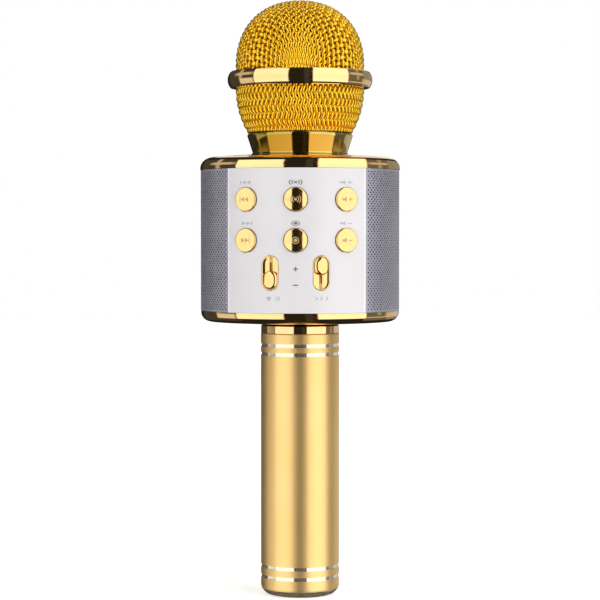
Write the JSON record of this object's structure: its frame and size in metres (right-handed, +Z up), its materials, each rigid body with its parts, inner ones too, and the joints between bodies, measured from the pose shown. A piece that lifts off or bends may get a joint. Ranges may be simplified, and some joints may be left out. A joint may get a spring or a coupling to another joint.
{
  "type": "karaoke microphone",
  "caption": "Handheld wireless karaoke microphone: woven mesh ball head, loudspeaker drum with keys and faders on a curved front plate, slim cylindrical grip.",
  "frame": {"origin": "centre of the tail cap's flat underside, on the long axis", "axes": "+Z up the grip towards the mesh head, -Y out of the control panel, +X to the right seen from the control panel"},
  "size_m": [0.0824, 0.0847, 0.2455],
  "materials": {
    "plated_gold": "mirror gold plating over moulded plastic",
    "grip_gold": "satin anodised, with polished turned grooves",
    "mesh_gold": "woven wire, gold plated",
    "grille_grey": "finely perforated, satin grey",
    "panel_white": "pearl white satin with bright cut edges",
    "key_gold": "plated key caps and faders",
    "black_plastic": "fine moulded texture",
    "speaker_cloth": "fine black woven cloth",
    "speaker_cone": "pressed black paper",
    "magnet_steel": "zinc plated, dull",
    "circuit_board": "green solder mask",
    "chip_black": "moulded epoxy",
    "bright_steel": "stamped and plated",
    "foam": "open cell foam, dark brown",
    "capsule_metal": "satin aluminium",
    "cell_wrap": "blue shrink wrap",
    "sleeve_plastic": "translucent natural moulding",
    "lead_red": "insulated wire",
    "indicator_lens": "clear diffusing lens"
  },
  "bodies": {
    "main": {"handle_tube": "grip_gold", "tail_cap": "grip_gold", "handle_bezel": "plated_gold", "handle_spigot": "black_plastic", "battery_cell": "cell_wrap", "battery_sleeve": "sleeve_plastic", "battery_spring": "bright_steel", "bottom_cap": "plated_gold", "top_cap": "plated_gold", "spigot_screws": "bright_steel", "inner_barrel": "black_plastic", "grille_left": "grille_grey", "grille_right": "grille_grey", "grille_cloth_left": "speaker_cloth", "grille_cloth_right": "speaker_cloth", "front_panel": "panel_white", "rear_panel": "black_plastic", "key_board": "circuit_board", "key_carrier": "black_plastic", "tact_switches": "chip_black", "mic_fader_tray": "key_gold", "reverb_fader_tray": "key_gold", "slide_pots": "bright_steel", "driver_frame_left": "magnet_steel", "driver_frame_right": "magnet_steel", "driver_cone_left": "speaker_cone", "driver_cone_right": "speaker_cone", "driver_magnet_left": "magnet_steel", "driver_magnet_right": "magnet_steel", "main_board": "circuit_board", "board_chips": "chip_black", "usb_socket": "bright_steel", "charge_socket": "bright_steel", "audio_jack": "black_plastic", "card_socket": "bright_steel", "power_switch_body": "bright_steel", "status_light": "indicator_lens", "neck_collar": "plated_gold", "capsule_mount": "black_plastic", "mic_capsule": "capsule_metal", "microphone_lead": "lead_red", "battery_lead": "lead_red"},
    "head": {"mesh_dome": "mesh_gold", "mesh_basket": "mesh_gold", "head_ring": "plated_gold", "mesh_hoop": "mesh_gold", "foam_windscreen": "foam", "head_thread_ring": "bright_steel"},
    "previous_key": {"button_previous": "key_gold"},
    "scan_key": {"button_scan": "key_gold"},
    "volume_up_key": {"button_volume_up": "key_gold"},
    "next_key": {"button_next": "key_gold"},
    "record_key": {"button_record": "key_gold"},
    "volume_down_key": {"button_volume_down": "key_gold"},
    "mic_fader": {"mic_fader_cap": "key_gold", "mic_fader_lever": "plated_gold"},
    "reverb_fader": {"reverb_fader_cap": "key_gold", "reverb_fader_lever": "plated_gold"},
    "power_knob": {"power_switch_knob": "black_plastic"}
  },
  "joints": [
    {"name": "head_lift_off", "type": "slide", "parent": "main", "child": "head", "axis": [0, 0, 1], "range_m": [0, 0.06]},
    {"name": "previous_press", "type": "slide", "parent": "main", "child": "previous_key", "axis": [0.518, 0.8554, 0], "range_m": [0, 0.0005], "stiffness_N_per_m": 500, "springref_m": -0.001},
    {"name": "scan_press", "type": "slide", "parent": "main", "child": "scan_key", "axis": [0, 1, 0], "range_m": [0, 0.0005], "stiffness_N_per_m": 500, "springref_m": -0.001},
    {"name": "volume_up_press", "type": "slide", "parent": "main", "child": "volume_up_key", "axis": [-0.518, 0.8554, 0], "range_m": [0, 0.0005], "stiffness_N_per_m": 500, "springref_m": -0.001},
    {"name": "next_press", "type": "slide", "parent": "main", "child": "next_key", "axis": [0.518, 0.8554, 0], "range_m": [0, 0.0005], "stiffness_N_per_m": 500, "springref_m": -0.001},
    {"name": "record_press", "type": "slide", "parent": "main", "child": "record_key", "axis": [0, 1, 0], "range_m": [0, 0.0005], "stiffness_N_per_m": 500, "springref_m": -0.001},
    {"name": "volume_down_press", "type": "slide", "parent": "main", "child": "volume_down_key", "axis": [-0.518, 0.8554, 0], "range_m": [0, 0.0005], "stiffness_N_per_m": 500, "springref_m": -0.001},
    {"name": "mic_fader_slide", "type": "slide", "parent": "main", "child": "mic_fader", "axis": [0, 0, 1], "range_m": [0, 0.0055]},
    {"name": "reverb_fader_slide", "type": "slide", "parent": "main", "child": "reverb_fader", "axis": [0, 0, 1], "range_m": [-0.0055, 0]},
    {"name": "power_switch_slide", "type": "slide", "parent": "main", "child": "power_knob", "axis": [0, 0, 1], "range_m": [0, 0.003]}
  ]
}
